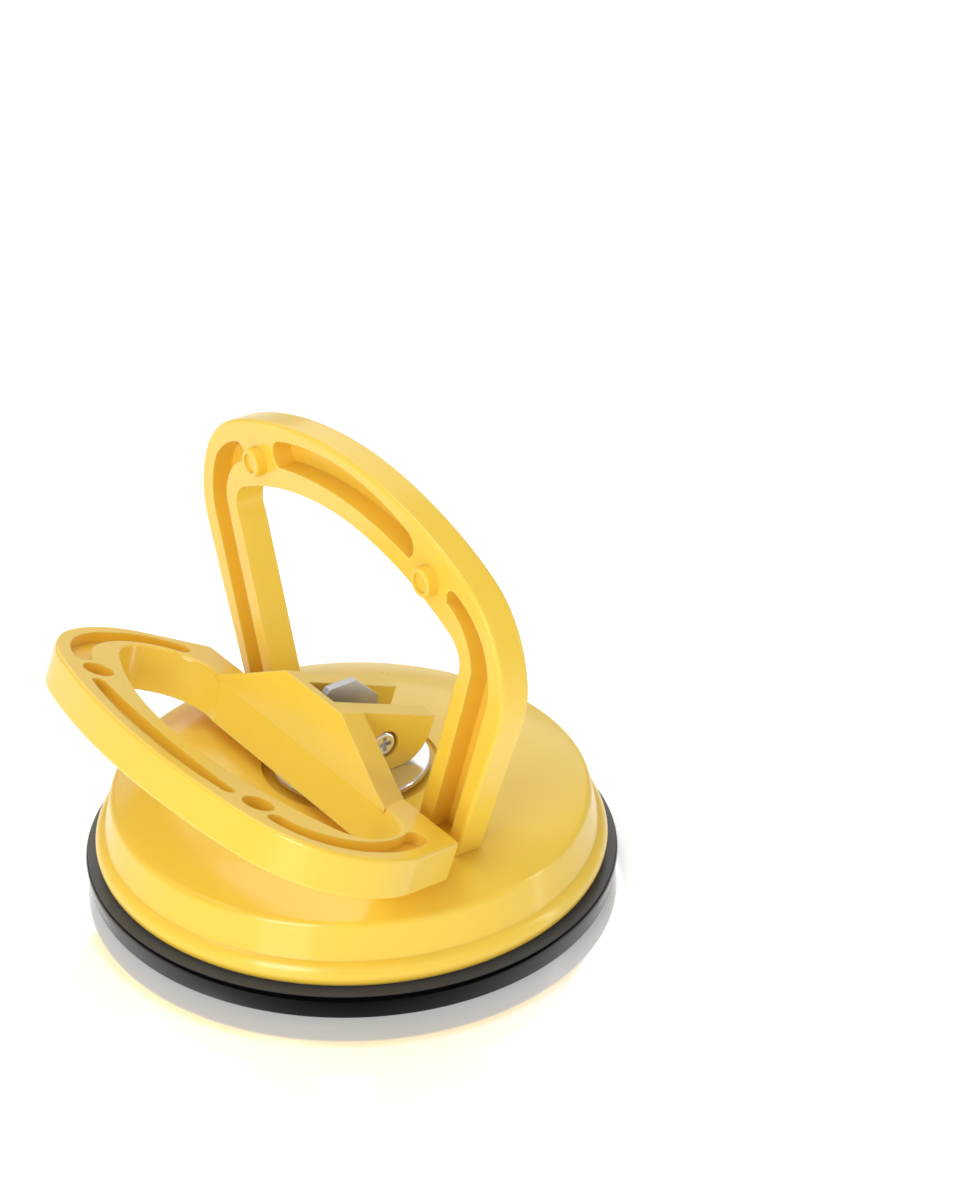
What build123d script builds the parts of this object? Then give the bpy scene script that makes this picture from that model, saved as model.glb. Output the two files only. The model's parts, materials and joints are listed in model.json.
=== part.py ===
"""Vacuum suction lifter: a rubber cup under a domed housing, a fixed handle arch, and a
lever whose cam lugs pull a steel tab upwards to draw the cup's centre off the surface.

Millimetres. Origin at the centre of the cup's sealing face, +Z up, the lever's pin along Y,
the open lever lying towards -X. The arch faces -X.
"""

import os
from math import cos, pi, radians, sin, sqrt

from build123d import *

# ---- fits and clearances ----
face_gap = 0.3          # lever face to arch face when the lever is closed
cam_gap = 0.03          # cam lug to wear disc
slot_gap = 0.4          # tab in the disc's slot, per side
pin_gap = 0.05          # radial running clearance on the pivot bolt
peg_gap = 0.3           # radial room of a peg in the lever's hole
seat_gap = 0.1          # tenon in its socket, per side
part_gap = 0.3          # between pieces that move past one another

# ---- rubber cup ----
cup_r = 59.0
cup_edge = 5.8          # thickness at the outer edge
cup_spigot = 2.4        # height of the step that centres the housing
cup_bevel = 0.4
cup_lean = 0.8          # how far the side draws in at the sealing face
lip_w = 16.0            # width of the flat sealing face
rim_inner_r = 34.0      # where the rim passes into the web
rim_rise = 0.9          # how far the underside has risen there
hub_r = 24.0
hub_under = 1.6         # underside of the hub above the sealing face
hub_top = 7.4
web_t = 4.0

# ---- steel plate and tab ----
plate_r = 20.5
plate_under = 4.2
plate_t = 2.0
plate_lip = 4.0         # how far the rubber laps over the plate's edge
tab_w = 13.4
tab_t = 2.0
tab_top = 46.8
tab_chamfer = 5.3       # top corner towards the rear
tab_corner = 1.2        # the other one
weld_leg = 1.6

# ---- housing ----
rim_show = 2.3          # rubber left showing outside the flange
flange_h = 6.2
flange_bulge = 2.1
drum_inset = 3.6        # flange's outer radius to the shoulder
shoulder_z = 20.0
shoulder_round = 1.2
dome_z = 26.0           # height of the dome at the moat
dome_flat_r = 20.5
housing_wall = 2.7
moat_depth = 1.0
seat_r = 15.0
seat_z = 26.2
crown_under = 21.6      # inside ceiling

# ---- wear disc ----
disc_r = 17.5
disc_t = 1.5

# ---- pivot and lever motion ----
pivot_x = 2.5
pivot_z = 34.5
tilt = 22.0             # lever's slope when it is open, degrees
lift = 4.5              # rise of the tab from open to closed
lug_top = 7.5           # top of the lugs above the pin, square to the lever
lug_out = 10.0          # lug's outer face from the middle plane
lug_in = 5.0            # lug's inner face from the middle plane

# ---- arch ----
arch_x = -0.9           # front face
arch_t = 7.0
arch_band = 14.8        # top of the arch above the pegs
arch_inner = 0.2        # top of the opening above the pegs
arch_wide_drop = 15.0   # widest point below the pegs
handle_half = 57.2      # half width of the arch and the lever
bend_out = 2.2          # where a leg's outer edge bends: in from the widest point
bend_out_drop = 12.1    # and below it
bend_in = 15.6          # the same for the inner edge
bend_in_drop = 3.9
foot_out = 41.0         # outer edge of a foot at foot_z
foot_in = 26.4
foot_z = 24.0
arch_round = 0.8
channel_d = 4.8
peg_y = 32.3
peg_r = 3.2
peg_h = 2.6
peg_lobe = 1.0          # arch left standing round a peg
peg_rim = 1.0           # wall of a peg round its dished end
peg_dish = 0.7

# ---- arch tenons and screws ----
tenon_w = 10.0
tenon_t = 4.6
tenon_end = 18.0
tenon_top = 27.0
socket_wall = 2.0
socket_floor = 3.0
screw_r = 1.5
screw_l = 9.4
screw_head_r = 2.9
screw_head_h = 2.2

# ---- lever ----
lever_t = 9.0
reach = 48.0            # pin to peg holes
tip_band = 11.3         # lever's tip beyond the peg holes
heel = 6.8              # pin to the straight side
heel_half = 49.0
heel_round = 1.5
grip_near = 15.7        # hand hole's near edge from the pin, under the bridge's ridge
grip_far = 47.4
grip_half = 46.9
grip_draft = 4.2        # how far the hole's sides lean in at the underside
grip_flare = 0.9        # rounding of the hole's upper edge
bridge_top = 11.0       # half width of the bridge's top at the front
bridge_foot = 32.0      # half width of its foot at the front
bridge_foot_rear = 27.0
bridge_rear = 9.0       # rear edge of the top from the pin
lever_round = 0.8
recess_d = 2.6
peg_hole_d = 3.2

# ---- pivot hardware ----
bolt_r = 2.0
bolt_head_r = 2.9
bolt_head_h = 2.2
head_ring = 0.4
nut_flats = 7.0
nut_h = 3.0
sleeve_r = 3.8
sleeve_play = 0.1

# ---- sizes that follow ----
disc_top = seat_z + disc_t
cam_low = pivot_z - disc_top - cam_gap          # pin to the cam's face when open
cam_high = cam_low + lift                       # the same when closed
swing = 90.0 - tilt
cam_rate = lift / radians(swing)                # rise per radian
face_drop = pivot_x - (arch_x - face_gap)       # pin above the lever's face
peg_z = pivot_z + lift + reach
arch_wide_z = peg_z - arch_wide_drop
leg_slope = (handle_half - bend_out - foot_out) / (arch_wide_z - bend_out_drop - foot_z)
leg_slope_in = (handle_half - bend_in - foot_in) / (arch_wide_z - bend_in_drop - foot_z)
flange_r = cup_r - rim_show
shoulder_r = flange_r - drum_inset
arch_mid_x = arch_x + arch_t / 2
lever_tip = reach + tip_band


def closed_face(start, *steps):
    """Face inside a closed outline. A step is a corner, or a pair (point on arc, arc's end)."""
    edges = []
    here = start
    for step in steps:
        if isinstance(step[0], tuple):
            edges.append(ThreePointArc(here, step[0], step[1]))
            here = step[1]
        else:
            edges.append(Line(here, step))
            here = step
    if here != start:
        edges.append(Line(here, start))
    return make_face(edges)


def crown(top, half, drop):
    """Arc step from (0, top) to (half, top - drop), level where it meets the middle plane."""
    radius = (half**2 + drop**2) / (2 * drop)
    mid = half / 2
    return ((mid, top - radius + sqrt(radius**2 - mid**2)), (half, top - drop))


def turned(face):
    """Solid of revolution about Z from a face drawn as (radius, height)."""
    return revolve(Plane.XZ * face, Axis.Z)


def both_sides(half):
    """A shape and its mirror image across the middle plane, y = 0."""
    return half + mirror(half, about=Plane.XZ)


def cyl_y(radius, y0, y1, x=0.0, z=0.0):
    """Cylinder along Y from y0 to y1."""
    axis = Pos(x, (y0 + y1) / 2, z) * Rot(90, 0, 0)
    return axis * Cylinder(radius, abs(y1 - y0))


def cyl_z(radius, z0, z1, x=0.0, y=0.0):
    """Cylinder along Z from z0 to z1."""
    return Pos(x, y, (z0 + z1) / 2) * Cylinder(radius, z1 - z0)


def block(x0, x1, y0, y1, z0, z1):
    """Box between two corners."""
    return Pos((x0 + x1) / 2, (y0 + y1) / 2, (z0 + z1) / 2) * Box(x1 - x0, y1 - y0, z1 - z0)


# ---------------------------------------------------------------- rubber cup
def rubber_cup():
    spigot_r = shoulder_r - housing_wall - part_gap
    lip_in = cup_r - lip_w
    outline = closed_face(
        (lip_in, 0),
        (cup_r - cup_lean, 0),
        (cup_r, cup_edge - 2 * cup_bevel),
        (
            (cup_r - 0.42 * cup_bevel, cup_edge - 0.75 * cup_bevel),
            (cup_r - 1.5 * cup_bevel, cup_edge),
        ),
        (spigot_r, cup_edge),
        (spigot_r, cup_edge + cup_spigot),
        (spigot_r - 3.0, cup_edge + cup_spigot),
        (rim_inner_r, rim_rise + web_t),
        (rim_inner_r, rim_rise),
    )
    return turned(outline)


def rubber_web():
    outline = closed_face(
        (rim_inner_r, rim_rise),
        (rim_inner_r, rim_rise + web_t),
        (hub_r + part_gap, hub_under + web_t),
        (hub_r + part_gap, hub_under),
    )
    return turned(outline)


def rubber_hub():
    body = cyl_z(hub_r, hub_under, hub_top)
    plate_seat = cyl_z(plate_r, plate_under, plate_under + plate_t)
    mouth = cyl_z(plate_r - plate_lip, plate_under + plate_t, hub_top)
    dish = Pos(0, 0, hub_under) * Cylinder(hub_r - 6, 1.0)
    return body - plate_seat - mouth - dish


def pull_plate():
    return cyl_z(plate_r, plate_under, plate_under + plate_t)


def pull_tab():
    foot = plate_under + plate_t
    half = tab_w / 2
    outline = closed_face(
        (-half, foot),
        (half, foot),
        (half, tab_top - tab_chamfer),
        (half - tab_chamfer, tab_top),
        (-half + tab_corner, tab_top),
        (-half, tab_top - tab_corner),
    )
    plate = extrude(Plane.XZ * outline, tab_t / 2, both=True)
    return plate - cyl_y(bolt_r + pin_gap, -tab_t, tab_t, pivot_x, pivot_z)


def tab_weld():
    foot = plate_under + plate_t
    bead = closed_face((tab_t / 2, foot), (tab_t / 2 + weld_leg, foot), (tab_t / 2, foot + weld_leg))
    run = extrude(Plane.YZ * bead, (tab_w - 2.0) / 2, both=True)
    return both_sides(run)


# ---------------------------------------------------------------- housing
def housing_skin():
    """Outside of the housing as a full solid, down to the cup."""
    rise = flange_h / 2
    drum_r = flange_r - flange_bulge
    outline = closed_face(
        (0, cup_edge),
        (drum_r, cup_edge),
        ((flange_r, cup_edge + rise), (drum_r, cup_edge + flange_h)),
        (shoulder_r, shoulder_z - shoulder_round),
        (
            (shoulder_r - 0.3 * shoulder_round, shoulder_z - 0.3 * shoulder_round),
            (shoulder_r - shoulder_round, shoulder_z + 0.2 * shoulder_round),
        ),
        (
            ((shoulder_r + dome_flat_r) / 2 - 0.6, (shoulder_z + dome_z) / 2 + 1.6),
            (dome_flat_r, dome_z),
        ),
        (0, dome_z),
    )
    return turned(outline)


def foot_sockets(gap):
    """Tenon bodies of both feet, grown by gap, from the sockets' floors up into the legs."""
    mid_y = (foot_out + foot_in) / 2 + 0.8
    half_w = tenon_w / 2 + gap
    half_t = tenon_t / 2 + gap
    one = block(
        arch_mid_x - half_t,
        arch_mid_x + half_t,
        mid_y - half_w,
        mid_y + half_w,
        tenon_end,
        tenon_top,
    )
    return both_sides(one)


def base_housing():
    drum_in = shoulder_r - housing_wall
    cavity = closed_face(
        (0, cup_edge),
        (drum_in, cup_edge),
        (drum_in, shoulder_z - 4.4),
        (drum_in - 2.0, shoulder_z - 2.6),
        (dome_flat_r + 12.0, crown_under - 0.2),
        (dome_flat_r - 2.0, crown_under),
        (0, crown_under),
    )
    mid_y = (foot_out + foot_in) / 2 + 0.8
    pad = block(
        arch_mid_x - tenon_t / 2 - socket_wall,
        arch_mid_x + tenon_t / 2 + socket_wall,
        mid_y - tenon_w / 2 - socket_wall,
        mid_y + tenon_w / 2 + socket_wall,
        tenon_end - socket_floor,
        shoulder_z + 1.5,
    )
    skin = housing_skin()
    body = skin - turned(cavity)
    body += both_sides(pad) & skin
    # seat for the wear disc, standing in a shallow moat
    body -= cyl_z(dome_flat_r - 1.0, dome_z - moat_depth, dome_z + 1)
    body += cyl_z(seat_r, dome_z - moat_depth - 0.5, seat_z)
    for turn in range(6):
        rib = block(seat_r + 4.5, drum_in, -0.9, 0.9, crown_under - 5.0, shoulder_z + 1.5)
        angle = 30 + 60 * turn
        if angle != 90 and angle != 270:
            body += (Rot(0, 0, angle) * rib) & (skin - cyl_z(drum_in + 1.0, 0, cup_edge + 1))
    body -= block(
        -tab_w / 2 - 2 * slot_gap,
        tab_w / 2 + 2 * slot_gap,
        -tab_t / 2 - 2 * slot_gap,
        tab_t / 2 + 2 * slot_gap,
        crown_under - 8,
        seat_z + 1,
    )
    body -= foot_sockets(seat_gap)
    body -= both_sides(cyl_z(screw_r + 0.3, 0, tenon_end + 1, arch_mid_x, mid_y))
    return body


def wear_disc():
    disc = cyl_z(disc_r, seat_z, disc_top)
    disc = fillet(disc.edges().filter_by(GeomType.CIRCLE), 0.4)
    return disc - block(
        -tab_w / 2 - slot_gap,
        tab_w / 2 + slot_gap,
        -tab_t / 2 - slot_gap,
        tab_t / 2 + slot_gap,
        seat_z - 1,
        disc_top + 1,
    )


# ---------------------------------------------------------------- arch
def arch_outer():
    """Outer outline of the arch, filled in, from below the dome's surface to the top."""
    top = peg_z + arch_band
    low = foot_z - 8.0
    bend = (handle_half - bend_out, arch_wide_z - bend_out_drop)
    shoulder = (handle_half - 16.2, top - 8.4)
    through = [
        (0, top),
        crown(top, shoulder[0], top - shoulder[1])[0],
        shoulder,
        (handle_half - 8.2, top - 13.0),
        (handle_half - 3.4, top - 18.7),
        (handle_half, arch_wide_z),
        bend,
    ]
    foot = (foot_out - 8.0 * leg_slope, low)
    outside = Spline(through, tangents=[(1, 0), (-leg_slope, -1)])
    inside = [Line(bend, foot), Line(foot, (0, low)), Line((0, low), (0, top))]
    half = make_face([outside] + inside)
    return half + mirror(half, about=Plane.YZ)


def arch_opening():
    """Hand opening between the legs, with a lobe of material left under each peg."""
    inner = peg_z + arch_inner
    wide = arch_wide_z
    low = foot_z - 9.0
    bend_y = handle_half - bend_in
    half = closed_face(
        (0, low),
        (foot_in - 9.0 * leg_slope_in, low),
        (bend_y, wide - bend_in_drop),
        ((bend_y + 1.0, wide + 1.2), (bend_y - 2.2, inner - 9.7)),
        ((21.0, inner - 2.7), (0, inner)),
    )
    half -= Pos(peg_y, peg_z) * Circle(peg_r + peg_lobe)
    return half + mirror(half, about=Plane.YZ)


def arch_channels():
    """Faces of the recesses in the arch's front: one down each leg and one across the top."""
    top = peg_z + arch_band
    inner = peg_z + arch_inner
    wide = arch_wide_z
    floor = 1.7
    low = foot_z + floor
    out_low = foot_out - 3.6 + floor * leg_slope
    in_low = foot_in + 4.4 + floor * leg_slope_in
    leg = closed_face(
        (out_low, low),
        (handle_half - 6.4, wide - 9.0),
        ((handle_half - 4.6, wide), (handle_half - 6.6, wide + 8.5)),
        ((handle_half - 10.6, wide + 13.0), (handle_half - 16.0, peg_z + 1.0)),
        ((handle_half - 18.6, peg_z - 0.2), (handle_half - 19.0, peg_z - 2.6)),
        ((handle_half - 12.4, wide + 7.0), (handle_half - 10.6, wide - 0.6)),
        (handle_half - 13.5, wide - 10.0),
        (in_low, low),
    )
    across = closed_face(
        (0, top - 2.7),
        ((13.0, top - 3.9), (24.6, top - 7.0)),
        ((26.6, top - 9.6), (24.6, inner + 1.4)),
        ((13.0, inner + 3.6), (0, inner + 4.5)),
    )
    boss = Pos(peg_y, peg_z) * Circle(peg_r + peg_lobe)
    leg -= boss
    across += mirror(across, about=Plane.YZ)
    across -= boss
    across -= mirror(boss, about=Plane.YZ)
    return [leg, mirror(leg, about=Plane.YZ), across]


def arch_handle():
    front = Plane.YZ.offset(arch_x)
    arch = extrude(front * arch_outer(), arch_t)
    arch = fillet(arch.faces().filter_by(Axis.X).edges(), arch_round)
    arch -= extrude(front * arch_opening(), arch_t)
    arch -= housing_skin()
    arch += foot_sockets(0)
    for channel in arch_channels():
        arch -= extrude(front * channel, channel_d)
    peg = Pos(arch_x - peg_h / 2 + 0.5, peg_y, peg_z) * Rot(0, 90, 0) * Cylinder(peg_r, peg_h + 1)
    peg = fillet(peg.edges().group_by(Axis.X)[0], 0.5)
    arch += both_sides(peg)
    dish = Pos(arch_x - peg_h, peg_y, peg_z) * Rot(0, 90, 0) * Cylinder(peg_r - peg_rim, 2 * peg_dish)
    arch -= both_sides(dish)
    mid_y = (foot_out + foot_in) / 2 + 0.8
    arch -= both_sides(cyl_z(screw_r, 0, tenon_end + screw_l - socket_floor, arch_mid_x, mid_y))
    return arch


def arch_screws():
    mid_y = (foot_out + foot_in) / 2 + 0.8
    floor = tenon_end - socket_floor
    shank = cyl_z(screw_r, floor, floor + screw_l, arch_mid_x, mid_y)
    head = cyl_z(screw_head_r, floor - screw_head_h, floor, arch_mid_x, mid_y)
    head = chamfer(head.edges().group_by(Axis.Z)[0], 0.5)
    slot = Pos(arch_mid_x, mid_y, floor - screw_head_h) * Box(0.9, 3.6, 1.6)
    cross = Pos(arch_mid_x, mid_y, floor - screw_head_h) * Box(3.6, 0.9, 1.6)
    return both_sides(shank + head - slot - cross)


# ---------------------------------------------------------------- lever
def lever_half_outline(inset=0.0):
    """Half of the lever's outline seen from its face: y across, distance from the pin up."""
    tip = lever_tip - inset
    wide = handle_half - inset
    return closed_face(
        (0, tip),
        crown(tip, wide - 19.0, 4.9),
        ((wide - 9.6, tip - 9.3), (wide - 3.8, tip - 14.8)),
        ((wide, tip - 27.0), (wide - 1.4, tip - 36.5)),
        (heel_half - inset, heel + inset),
        (0, heel + inset),
    )


def grip_outline(inset):
    """Hand hole seen from the lever's face, its sides moved in by inset, the ends by less."""
    near = grip_near + max(inset, 0) / 2
    far = grip_far - inset / 4
    half = grip_half - inset
    drop = far - near - 20.1
    side = closed_face(
        (0, near),
        (half - 15.9, near),
        ((half - 5.0, near + 2.0), (half - 0.7, near + 8.6)),
        ((half, near + 13.8), (half - 3.9, near + 20.1)),
        (crown(far, half - 3.9, drop)[0], (0, far)),
    )
    return side + mirror(side, about=Plane.YZ)


def grip_hole():
    """Cutter for the hand hole in the lever's own frame: flared at the face, drafted below."""
    levels = [
        (1.0, -grip_flare),
        (0.0, -grip_flare),
        (-0.3 * grip_flare, -0.3 * grip_flare),
        (-grip_flare, 0.0),
        (-0.4 * lever_t, 0.3 * grip_draft),
        (-lever_t - 1.0, grip_draft),
    ]
    faces = []
    for height, inset in levels:
        flat = Plane((0, 0, height - face_drop), x_dir=(0, -1, 0), z_dir=(0, 0, -1))
        faces.append(flat * grip_outline(inset))
    cutter = Part()
    for upper, lower in zip(faces, faces[1:]):
        cutter += loft([upper.face(), lower.face()], ruled=True)
    return cutter


def lever_recesses():
    tip = lever_tip
    across = closed_face(
        (0, tip - 3.2),
        ((14.0, tip - 3.9), (25.6, tip - 6.0)),
        ((27.4, tip - 8.2), (25.0, tip - 9.2)),
        ((13.0, tip - 8.3), (0, tip - 8.0)),
    )
    side = closed_face(
        (handle_half - 17.6, tip - 9.4),
        ((handle_half - 8.2, tip - 14.8), (handle_half - 3.6, tip - 27.0)),
        ((handle_half - 4.4, tip - 36.0), (handle_half - 8.2, tip - 43.4)),
        ((handle_half - 11.2, tip - 44.6), (handle_half - 12.6, tip - 41.4)),
        ((handle_half - 9.0, tip - 34.6), (handle_half - 8.2, tip - 27.6)),
        ((handle_half - 11.6, tip - 18.6), (handle_half - 18.8, tip - 13.4)),
        ((handle_half - 20.0, tip - 11.0), (handle_half - 17.6, tip - 9.4)),
    )
    half = across + side
    return half + mirror(half, about=Plane.YZ)


def bridge_profile(top_half, foot_half, distance):
    """Cross section of the bridge, square to the lever, at a distance from the pin."""
    top = lug_top
    face = -face_drop
    run = foot_half - top_half
    rise = top - face
    side = closed_face(
        (0, face - 1.0),
        (foot_half + 1.4, face - 1.0),
        (foot_half + 1.4, face),
        ((foot_half - 0.05 * run, face + 0.09 * rise), (foot_half - 0.2 * run, face + 0.22 * rise)),
        (top_half, top),
        (0, top),
    )
    flat = Plane((-distance, 0, 0), x_dir=(0, -1, 0), z_dir=(-1, 0, 0))
    return flat * (side + mirror(side, about=Plane.YZ))


def bridge():
    """Hipped bridge across the lever, between the lugs and the hand hole."""
    rear = bridge_profile(lug_out, bridge_foot_rear, heel + 0.1)
    front = bridge_profile(bridge_top, bridge_foot, grip_near)
    body = loft([rear.face(), front.face()], ruled=True)
    slope = closed_face((-heel, -face_drop), (-bridge_rear, lug_top + 0.01), (0, lug_top + 0.01))
    return body - extrude(Plane.XZ * slope, 60.0, both=True)


def cam_point(angle):
    """Point of the cam whose face is square to a direction, angle from straight down."""
    reach_out = cam_low + cam_rate * (angle - radians(tilt))
    x = reach_out * sin(angle) + cam_rate * cos(angle)
    z = -reach_out * cos(angle) + cam_rate * sin(angle)
    return (x, z)


def cam_lug():
    steps = 6
    start = radians(tilt)
    stride = radians(swing) / steps
    curve = Spline([cam_point(start + i * stride) for i in range(steps + 1)])
    low = cam_point(start)
    end = cam_point(pi / 2)
    flat = 13.0
    back = (low[0] - flat * cos(start), low[1] - flat * sin(start))
    corners = [
        end,
        (cam_high, lug_top),
        (-grip_near, lug_top),
        (-grip_near, -face_drop - lever_t + 4.0),
        back,
        low,
    ]
    lines = [Line(a, b) for a, b in zip(corners, corners[1:])]
    side = make_face([curve] + lines)
    lug = extrude(Plane.XZ * side, lug_out - lug_in)
    return both_sides(Pos(0, lug_out, 0) * lug)


def to_rest(shape):
    """Carry a shape from the lever's own frame, pin at the origin, to its open place."""
    return Pos(pivot_x, 0, pivot_z) * Rot(0, tilt, 0) * shape


def lever():
    # drawn on the lever's face: across, then away from the pin along -X
    flat = Plane((0, 0, -face_drop), x_dir=(0, -1, 0), z_dir=(0, 0, -1))
    outline = lever_half_outline()
    outline += mirror(outline, about=Plane.YZ)
    outline = fillet(outline.vertices().filter_by(lambda v: v.Y > heel + 1), 8.0)
    outline = fillet(outline.vertices().filter_by(lambda v: v.Y < heel + 1), heel_round)
    plate = extrude(flat * outline, lever_t)
    plate = fillet(plate.faces().filter_by(Axis.Z).edges(), lever_round)
    plate -= grip_hole()
    plate -= extrude(flat * lever_recesses(), recess_d)
    frame = to_rest(plate + bridge())
    # room over the disc and the dome when the lever is open
    frame -= cyl_z(disc_r + 1.5, 0, disc_top + part_gap)
    frame -= Pos(0, 0, part_gap + 0.3) * housing_skin()
    lugs = to_rest(cam_lug())
    body = frame + lugs
    gap_r = sqrt((tab_w / 2 + pivot_x) ** 2 + (tab_top - pivot_z) ** 2)
    body -= cyl_y(gap_r, -lug_in, lug_in, pivot_x, pivot_z)
    body -= cyl_y(bolt_r, -lug_out - 1, lug_out + 1, pivot_x, pivot_z)
    body -= cyl_y(bolt_head_r + head_ring, -lug_out - 1, -lug_out + bolt_head_h, pivot_x, pivot_z)
    body -= Pos(pivot_x, lug_out - nut_h, pivot_z) * nut_prism(nut_h + 5)
    holes = Pos(-reach, peg_y, -face_drop - peg_hole_d) * Cylinder(
        peg_r + peg_gap, peg_hole_d + 5, align=(Align.CENTER, Align.CENTER, Align.MIN)
    )
    body -= to_rest(both_sides(holes))
    return body


def nut_prism(height):
    """Hexagonal prism along +Y from the origin."""
    hexagon = RegularPolygon(nut_flats / sqrt(3), 6)
    return extrude(Plane.XZ * hexagon, -height)


# ---------------------------------------------------------------- pivot hardware
def pivot_bolt():
    under_head = -lug_out + bolt_head_h
    shank = cyl_y(bolt_r, under_head, lug_out - 0.2, pivot_x, pivot_z)
    head = cyl_y(bolt_head_r, -lug_out + 0.2, under_head, pivot_x, pivot_z)
    head = fillet(head.edges().group_by(Axis.Y)[0], 0.7)
    bolt = shank + head
    for spin in (0, 90):
        arm = Pos(pivot_x, -lug_out + 0.2, pivot_z) * Rot(0, spin, 0) * Box(0.9, 2.2, 3.4)
        bolt -= arm
    return bolt


def pivot_nut():
    nut = Pos(pivot_x, lug_out - nut_h, pivot_z) * nut_prism(nut_h - 0.3)
    return nut - cyl_y(bolt_r, 0, lug_out + 1, pivot_x, pivot_z)


def spacer_sleeves():
    inner = tab_t / 2 + sleeve_play
    sleeve = cyl_y(sleeve_r, inner, lug_in, pivot_x, pivot_z)
    sleeve -= cyl_y(bolt_r, inner - 1, lug_in + 1, pivot_x, pivot_z)
    return both_sides(sleeve)


NODES = {
    "base_housing": base_housing,
    "arch_handle": arch_handle,
    "arch_screws": arch_screws,
    "wear_disc": wear_disc,
    "rubber_cup": rubber_cup,
    "rubber_web": rubber_web,
    "rubber_hub": rubber_hub,
    "pull_plate": pull_plate,
    "tab_weld": tab_weld,
    "pull_tab": pull_tab,
    "lever": lever,
    "pivot_bolt": pivot_bolt,
    "pivot_nut": pivot_nut,
    "spacer_sleeves": spacer_sleeves,
}

os.makedirs("parts", exist_ok=True)
for name, make in NODES.items():
    export_step(make(), f"parts/{name}.step")
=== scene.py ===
"""Looks of the vacuum suction lifter: materials, rubber cup, floor, light and camera.

Lengths are in metres. The rubber pieces are built here in place of the plain CAD solids;
every other piece is its CAD node with a detailed material.
"""

import json
from math import cos, pi, radians, sin

import bmesh
import bpy
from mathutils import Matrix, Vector


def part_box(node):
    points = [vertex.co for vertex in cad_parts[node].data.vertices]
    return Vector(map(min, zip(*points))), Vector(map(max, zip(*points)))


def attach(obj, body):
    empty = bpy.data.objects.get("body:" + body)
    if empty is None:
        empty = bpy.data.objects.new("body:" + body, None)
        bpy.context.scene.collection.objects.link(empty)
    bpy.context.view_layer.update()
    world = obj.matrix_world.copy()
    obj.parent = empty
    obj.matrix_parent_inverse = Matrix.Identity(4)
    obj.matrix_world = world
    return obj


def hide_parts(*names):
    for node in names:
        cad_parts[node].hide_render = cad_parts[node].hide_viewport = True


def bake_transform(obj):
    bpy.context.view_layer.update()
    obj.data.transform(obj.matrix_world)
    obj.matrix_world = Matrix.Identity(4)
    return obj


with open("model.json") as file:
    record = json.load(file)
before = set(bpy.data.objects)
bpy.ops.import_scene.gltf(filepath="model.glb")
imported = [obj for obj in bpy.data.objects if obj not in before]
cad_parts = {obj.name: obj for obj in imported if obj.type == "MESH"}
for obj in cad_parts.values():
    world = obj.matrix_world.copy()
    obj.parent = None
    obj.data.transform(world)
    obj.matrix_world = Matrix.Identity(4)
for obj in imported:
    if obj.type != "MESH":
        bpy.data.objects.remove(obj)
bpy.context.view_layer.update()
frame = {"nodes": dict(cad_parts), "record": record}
MM = 0.001

# ---------------------------------------------------------------- node helpers


def new_material(name):
    mat = bpy.data.materials.new(name)
    mat.use_nodes = True
    tree = mat.node_tree
    return mat, tree, tree.nodes["Principled BSDF"]


def add(tree, kind, **settings):
    node = tree.nodes.new(kind)
    for key, value in settings.items():
        setattr(node, key, value)
    return node


def object_coords(tree):
    return add(tree, "ShaderNodeTexCoord").outputs["Object"]


def face_normal(tree):
    return add(tree, "ShaderNodeNewGeometry").outputs["Normal"]


def noise(tree, coords, scale, detail=3.0, roughness=0.5):
    node = add(tree, "ShaderNodeTexNoise")
    node.inputs["Scale"].default_value = scale
    node.inputs["Detail"].default_value = detail
    node.inputs["Roughness"].default_value = roughness
    tree.links.new(coords, node.inputs["Vector"])
    return node.outputs["Fac"]


def ramp(tree, value, start, end, low=0.0, high=1.0):
    """Carry start..end onto low..high, flat beyond both ends."""
    node = add(tree, "ShaderNodeMapRange")
    node.inputs["From Min"].default_value = start
    node.inputs["From Max"].default_value = end
    node.inputs["To Min"].default_value = low
    node.inputs["To Max"].default_value = high
    tree.links.new(value, node.inputs["Value"])
    return node.outputs["Result"]


def spread(tree, value, low, high):
    """Carry 0.3..0.7, where most of a noise lies, onto low..high."""
    return ramp(tree, value, 0.3, 0.7, low, high)


def mix(tree, factor, start, end):
    """Mix two colours, each a triple or the output of another node."""
    node = add(tree, "ShaderNodeMix", data_type="RGBA")
    tree.links.new(factor, node.inputs["Factor"])
    for socket, colour in (("A", start), ("B", end)):
        if isinstance(colour, tuple):
            node.inputs[socket].default_value = (*colour, 1)
        else:
            tree.links.new(colour, node.inputs[socket])
    return node.outputs["Result"]


def bump(tree, height, strength, distance, normal=None):
    node = add(tree, "ShaderNodeBump")
    node.inputs["Strength"].default_value = strength
    node.inputs["Distance"].default_value = distance
    tree.links.new(height, node.inputs["Height"])
    if normal is not None:
        tree.links.new(normal, node.inputs["Normal"])
    return node.outputs["Normal"]


def soft_edges(tree, radius):
    node = add(tree, "ShaderNodeBevel", samples=6)
    node.inputs["Radius"].default_value = radius
    return node.outputs["Normal"]


def crevices(tree, distance):
    """0 deep in a recess, 1 on an open face; the mask for the painted shade in recesses."""
    node = add(tree, "ShaderNodeAmbientOcclusion", samples=6)
    node.inputs["Distance"].default_value = distance
    return node.outputs["AO"]


def grazing(tree):
    """Gloss that grows from 0 to 1 towards the edge of a round surface."""
    node = add(tree, "ShaderNodeLayerWeight")
    node.inputs["Blend"].default_value = 0.35
    return ramp(tree, node.outputs["Facing"], 0.20, 1.0)


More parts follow.
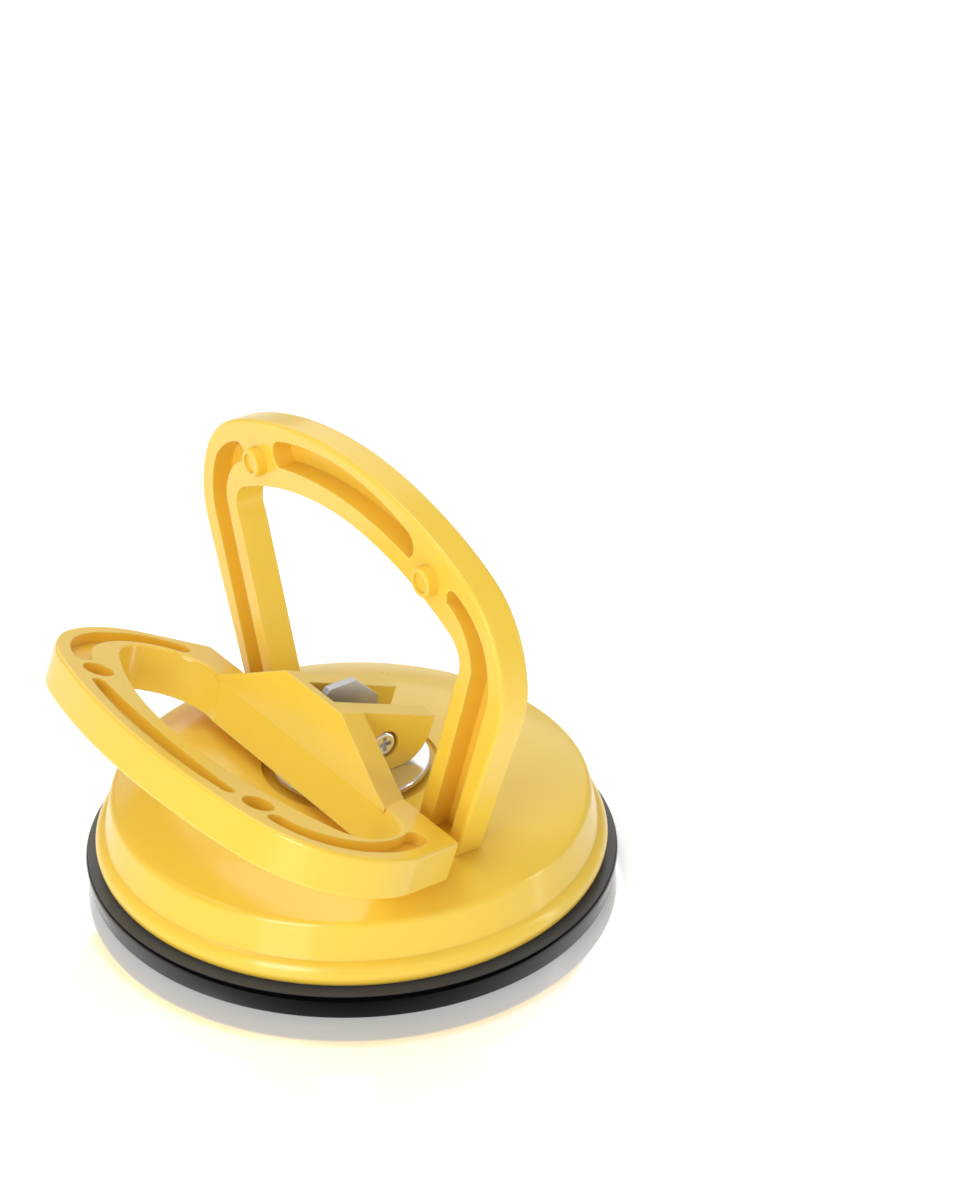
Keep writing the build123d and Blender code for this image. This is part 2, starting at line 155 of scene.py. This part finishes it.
def painted_edge_highlight(tree, edges, openness):
    """Up to 0.7 along outward edges of open faces, where a pale highlight is painted, and 0
    elsewhere.
    """
    agree = add(tree, "ShaderNodeVectorMath", operation="DOT_PRODUCT")
    tree.links.new(edges, agree.inputs[0])
    tree.links.new(face_normal(tree), agree.inputs[1])
    both = add(tree, "ShaderNodeMath", operation="MULTIPLY")
    tree.links.new(ramp(tree, agree.outputs["Value"], 0.985, 0.86), both.inputs[0])
    tree.links.new(ramp(tree, openness, 0.72, 0.92, high=0.7), both.inputs[1])
    return both.outputs["Value"]


# ---------------------------------------------------------------- materials


def yellow_plastic():
    """Glossy moulded plastic, with painted shade making it warmer in its recesses and a
    painted highlight making it paler along its edges.
    """
    mat, tree, shader = new_material("yellow_plastic_detail")
    coords = object_coords(tree)
    flow = noise(tree, coords, 14, 2)
    grain = noise(tree, coords, 1100, 4, 0.6)
    haze = noise(tree, coords, 45, 5, 0.65)
    openness = crevices(tree, 9 * MM)
    edges = soft_edges(tree, 0.5 * MM)
    open_face = mix(tree, flow, (0.880, 0.610, 0.060), (0.915, 0.650, 0.075))
    # Painted shade: recesses are mixed towards a warmer, more orange yellow.
    painted_shade_colour = mix(tree, openness, (0.880, 0.550, 0.058), open_face)
    # Painted highlight: outward edges are mixed towards a pale yellow.
    colour = mix(tree, painted_edge_highlight(tree, edges, openness), painted_shade_colour, (0.950, 0.820, 0.330))
    tree.links.new(colour, shader.inputs["Base Color"])
    tree.links.new(spread(tree, haze, 0.27, 0.34), shader.inputs["Roughness"])
    tree.links.new(bump(tree, grain, 0.04, 0.03 * MM, edges), shader.inputs["Normal"])
    shader.inputs["Subsurface Weight"].default_value = 0.15
    shader.inputs["Subsurface Radius"].default_value = (1.0, 0.5, 0.1)
    shader.inputs["Subsurface Scale"].default_value = 2.0 * MM
    shader.inputs["IOR"].default_value = 1.46
    shader.inputs["Coat Weight"].default_value = 0.4
    shader.inputs["Coat Roughness"].default_value = 0.12
    return mat


def black_rubber():
    """Near-black rubber, painted a lighter, bluish grey on the faces that look up, as if lit
    from above.
    """
    mat, tree, shader = new_material("black_rubber_detail")
    coords = object_coords(tree)
    bloom = noise(tree, coords, 40, 5, 0.6)
    grain = noise(tree, coords, 1500, 3)
    side = mix(tree, bloom, (0.0015, 0.0015, 0.0018), (0.003, 0.003, 0.0034))
    upper = mix(tree, bloom, (0.056, 0.061, 0.074), (0.078, 0.084, 0.100))
    split = add(tree, "ShaderNodeSeparateXYZ")
    tree.links.new(face_normal(tree), split.inputs["Vector"])
    # Painted light: faces that look up get a lighter, bluish grey.
    painted_top_light = ramp(tree, split.outputs["Z"], 0.80, 0.97)
    tree.links.new(mix(tree, painted_top_light, side, upper), shader.inputs["Base Color"])
    tree.links.new(spread(tree, bloom, 0.20, 0.30), shader.inputs["Roughness"])
    tree.links.new(bump(tree, grain, 0.06, 0.02 * MM), shader.inputs["Normal"])
    tree.links.new(grazing(tree), shader.inputs["Specular IOR Level"])
    shader.inputs["IOR"].default_value = 1.8
    return mat


def chrome():
    mat, tree, shader = new_material("chrome_detail")
    wipe = noise(tree, object_coords(tree), 90, 6, 0.6)
    colour = mix(tree, wipe, (0.74, 0.77, 0.82), (0.86, 0.88, 0.92))
    tree.links.new(colour, shader.inputs["Base Color"])
    tree.links.new(spread(tree, wipe, 0.10, 0.20), shader.inputs["Roughness"])
    edges = soft_edges(tree, 0.3 * MM)
    tree.links.new(bump(tree, wipe, 0.03, 0.02 * MM, edges), shader.inputs["Normal"])
    shader.inputs["Metallic"].default_value = 0.85
    return mat


def zinc_steel():
    """Brushed steel with a zinc finish, the strokes running along X."""
    mat, tree, shader = new_material("zinc_steel_detail")
    coords = object_coords(tree)
    spangle = noise(tree, coords, 300, 4, 0.55)
    stroke = add(tree, "ShaderNodeMapping")
    stroke.inputs["Scale"].default_value = (120, 1500, 1500)
    tree.links.new(coords, stroke.inputs["Vector"])
    brushed = noise(tree, stroke.outputs["Vector"], 1.0, 3)
    colour = mix(tree, spangle, (0.44, 0.46, 0.51), (0.58, 0.60, 0.65))
    tree.links.new(colour, shader.inputs["Base Color"])
    tree.links.new(spread(tree, brushed, 0.30, 0.40), shader.inputs["Roughness"])
    edges = soft_edges(tree, 0.2 * MM)
    tree.links.new(bump(tree, brushed, 0.05, 0.01 * MM, edges), shader.inputs["Normal"])
    shader.inputs["Metallic"].default_value = 0.6
    return mat


MATERIALS = {
    "yellow_plastic": yellow_plastic(),
    "black_rubber": black_rubber(),
    "chrome": chrome(),
    "zinc_steel": zinc_steel(),
}
for part in frame["record"]["subparts"]:
    node = frame["nodes"][part["node"]]
    for slot in node.material_slots:
        slot.material = MATERIALS[part["material_slot"]]

# ---------------------------------------------------------------- turned pieces
SIDES = 256
SHARP_ANGLE = radians(38)
ROUND_STEPS = 4


def turned(name, outline, slot, *nodes):
    """Closed piece turned about Z from (radius, height) points, standing for CAD nodes."""
    bm = bmesh.new()
    rings = []
    for radius, height in outline:
        if radius == 0:
            rings.append([bm.verts.new((0, 0, height))] * SIDES)
            continue
        turns = (2 * pi * i / SIDES for i in range(SIDES))
        rings.append([bm.verts.new((radius * cos(a), radius * sin(a), height)) for a in turns])
    for here, there in zip(rings, rings[1:] + rings[:1]):
        for i in range(SIDES):
            k = (i + 1) % SIDES
            corners = list(dict.fromkeys((here[i], here[k], there[k], there[i])))
            if len(corners) > 2:
                bm.faces.new(corners)
    bmesh.ops.recalc_face_normals(bm, faces=bm.faces)
    for face in bm.faces:
        face.smooth = True
    for edge in bm.edges:
        if len(edge.link_faces) == 2:
            edge.smooth = edge.calc_face_angle() < SHARP_ANGLE
    mesh = bpy.data.meshes.new(name)
    bm.to_mesh(mesh)
    bm.free()
    mesh.materials.append(MATERIALS[slot])
    piece = bpy.data.objects.new(name, mesh)
    bpy.context.scene.collection.objects.link(piece)
    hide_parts(*nodes)
    return piece


def rounded(before, corner, after, size):
    """Points round a corner, the round starting and ending at a distance of size from it."""
    here = Vector(corner)
    start = here + (Vector(before) - here).normalized() * size
    end = here + (Vector(after) - here).normalized() * size
    points = []
    for i in range(ROUND_STEPS + 1):
        t = i / ROUND_STEPS
        point = start * (1 - t) ** 2 + here * 2 * t * (1 - t) + end * t**2
        points.append((point.x, point.y))
    return points


def smooth_outline(corners):
    """Closed outline from corners of (radius, height, size of the round)."""
    points = []
    for i, (x, z, size) in enumerate(corners):
        if size == 0:
            points.append((x, z))
            continue
        before = corners[i - 1][:2]
        after = corners[(i + 1) % len(corners)][:2]
        points += rounded(before, (x, z), after, size)
    return points


# ---------------------------------------------------------------- rubber cup
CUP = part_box("rubber_cup")
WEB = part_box("rubber_web")
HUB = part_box("rubber_hub")
CUP_R = CUP[1].x
CUP_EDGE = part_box("base_housing")[0].z
RIM_R = WEB[1].x
RIM_UNDER = WEB[0].z
HUB_R = HUB[1].x
HUB_UNDER = HUB[0].z
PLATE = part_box("pull_plate")

WEB_T = 4.0 * MM
LIP_WIDTH = 16 * MM         # the flat sealing face
SIDE_LEAN = 0.8 * MM        # the foot of the side stands this far in
GROOVES = 4                 # fine grooves in the sealing face
GROOVE_PITCH = 3.0 * MM
GROOVE_HALF = 0.5 * MM
GROOVE_DEPTH = 0.45 * MM
SPIGOT_INSET = 8.9 * MM     # from the cup's edge to the step that centres the housing
SPIGOT_WIDTH = 3.0 * MM
SKIN = 0.04 * MM
SKIN_STEPS = 24
PLATE_LAP = 4.0 * MM        # how far the rubber laps over the plate's edge
DISH_INSET = 6.0 * MM
DISH_DEPTH = 1.0 * MM


def rim():
    """Outer part of the cup: grooved sealing lip, moulded side and the step inside."""
    spigot = CUP_R - SPIGOT_INSET
    lip = CUP_R - LIP_WIDTH
    side = CUP_R - SIDE_LEAN
    corners = [(RIM_R, RIM_UNDER, 0), (lip, 0.0, 1.2 * MM)]
    for i in range(GROOVES):
        groove = lip + GROOVE_PITCH * (i + 1)
        corners.append((groove - GROOVE_HALF, 0.0, 0.1 * MM))
        corners.append((groove, GROOVE_DEPTH, 0.2 * MM))
        corners.append((groove + GROOVE_HALF, 0.0, 0.1 * MM))
    corners += [
        (side, 0.0, 0.25 * MM),
        (CUP_R, CUP_EDGE - 0.9 * MM, 0.3 * MM),
        (CUP_R - 0.15 * MM, CUP_EDGE, 0.55 * MM),
        (spigot, CUP_EDGE, 0),
        (spigot, CUP[1].z, 0.5 * MM),
        (spigot - SPIGOT_WIDTH, CUP[1].z, 0.5 * MM),
        (RIM_R, RIM_UNDER + WEB_T, 0),
    ]
    piece = turned("rubber_rim", smooth_outline(corners), "black_rubber", "rubber_cup")
    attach(piece, "base")


def diaphragm():
    """Skin between the rim and the hub, its height rising all the way inwards."""
    under = []
    for i in range(SKIN_STEPS + 1):
        t = i / SKIN_STEPS
        radius = RIM_R + (HUB_R - RIM_R) * t
        under.append((radius, RIM_UNDER + (HUB_UNDER - RIM_UNDER) * t))
    upper = [(radius, height + SKIN) for radius, height in reversed(under)]
    piece = turned("rubber_diaphragm", under + upper, "black_rubber", "rubber_web")
    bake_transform(piece)


def hub():
    """Middle of the cup: dished underneath, its lip lapping over the steel plate."""
    mouth = PLATE[1].x - PLATE_LAP
    dish = HUB_R - DISH_INSET
    dish_top = HUB_UNDER + DISH_DEPTH
    corners = [
        (0, dish_top, 0),
        (dish - 0.6 * MM, dish_top, 0.8 * MM),
        (dish, HUB_UNDER, 0.3 * MM),
        (HUB_R, HUB_UNDER, 0.1 * MM),
        (HUB_R, HUB[1].z, 0.6 * MM),
        (mouth, HUB[1].z, 0.4 * MM),
        (mouth, PLATE[1].z, 0.1 * MM),
        (PLATE[1].x, PLATE[1].z, 0),
        (PLATE[1].x, PLATE[0].z, 0),
        (0, PLATE[0].z, 0),
    ]
    piece = turned("rubber_hub_dished", smooth_outline(corners), "black_rubber", "rubber_hub")
    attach(piece, "puller")


rim()
diaphragm()
hub()

# ---------------------------------------------------------------- floor
FLOOR_HALF = 3.0
MIRROR_CENTRE = (-5.0 * MM, -7.0 * MM, 0)   # from the cup's axis towards the camera
MIRROR_R = CUP_R - 0.5 * MM
MIRROR_FADE_R = CUP_R + 1.5 * MM


def floor_white():
    """Pale floor, a clear mirror in the disc under and just in front of the cup."""
    mat, tree, shader = new_material("floor_white")
    coords = object_coords(tree)
    reach = add(tree, "ShaderNodeVectorMath", operation="DISTANCE")
    tree.links.new(coords, reach.inputs[0])
    reach.inputs[1].default_value = MIRROR_CENTRE
    mirror = ramp(tree, reach.outputs["Value"], MIRROR_R, MIRROR_FADE_R, 0.62, 0.06)
    grain = noise(tree, coords, 30, 3)
    tree.links.new(mirror, shader.inputs["Metallic"])
    tree.links.new(spread(tree, grain, 0.07, 0.09), shader.inputs["Roughness"])
    shader.inputs["Base Color"].default_value = (0.92, 0.92, 0.92, 1)
    shader.inputs["Emission Color"].default_value = (1, 1, 1, 1)
    shader.inputs["Emission Strength"].default_value = 0.30
    return mat


def floor():
    mesh = bpy.data.meshes.new("floor")
    half = FLOOR_HALF
    corners = [(-half, -half, 0), (half, -half, 0), (half, half, 0), (-half, half, 0)]
    mesh.from_pydata(corners, [], [(0, 1, 2, 3)])
    mesh.materials.append(floor_white())
    plane = bpy.data.objects.new("floor", mesh)
    bpy.context.scene.collection.objects.link(plane)


floor()

# ---------------------------------------------------------------- light


def area_light(name, place, target, size, power):
    data = bpy.data.lights.new(name, "AREA")
    data.shape = "RECTANGLE"
    data.size, data.size_y = size
    data.energy = power
    lamp = bpy.data.objects.new(name, data)
    lamp.location = place
    aim = Vector(target) - Vector(place)
    lamp.rotation_euler = aim.to_track_quat("-Z", "Y").to_euler()
    bpy.context.scene.collection.objects.link(lamp)


area_light("key", (-1.05, -0.55, 0.50), (0, 0, 0.05), (0.5, 0.8), 8.2)
area_light("front", (-0.15, -1.20, 0.45), (0, 0, 0.03), (0.9, 0.5), 0.9)
area_light("side", (0.80, -0.60, 0.30), (0, 0, 0.05), (0.12, 0.6), 1.2)
area_light("top", (-0.15, 0.25, 1.1), (0, 0, 0), (0.9, 0.7), 4.0)
area_light("back", (0.70, 1.05, 0.72), (0, 0, 0), (1.5, 1.0), 4.2)

world = bpy.data.worlds.new("studio")
world.use_nodes = True
background = world.node_tree.nodes["Background"]
background.inputs["Color"].default_value = (1, 0.93, 0.82, 1)
background.inputs["Strength"].default_value = 0.45
bpy.context.scene.world = world
bpy.context.scene.view_settings.view_transform = "Standard"

# ---------------------------------------------------------------- camera
AZIMUTH = radians(-35.64)
ELEVATION = radians(29.75)
PLACE = Vector((-0.33093, -0.51024, 0.41594))
LENS = 99.83
SENSOR = 36.0


def camera():
    data = bpy.data.cameras.new("camera")
    data.sensor_width = SENSOR
    data.lens = LENS
    data.clip_start = 0.01
    eye = bpy.data.objects.new("camera", data)
    level = cos(ELEVATION)
    back = Vector((sin(AZIMUTH) * level, -cos(AZIMUTH) * level, sin(ELEVATION)))
    eye.location = PLACE
    eye.rotation_euler = (-back).to_track_quat("-Z", "Y").to_euler()
    bpy.context.scene.collection.objects.link(eye)
    bpy.context.scene.camera = eye


camera()
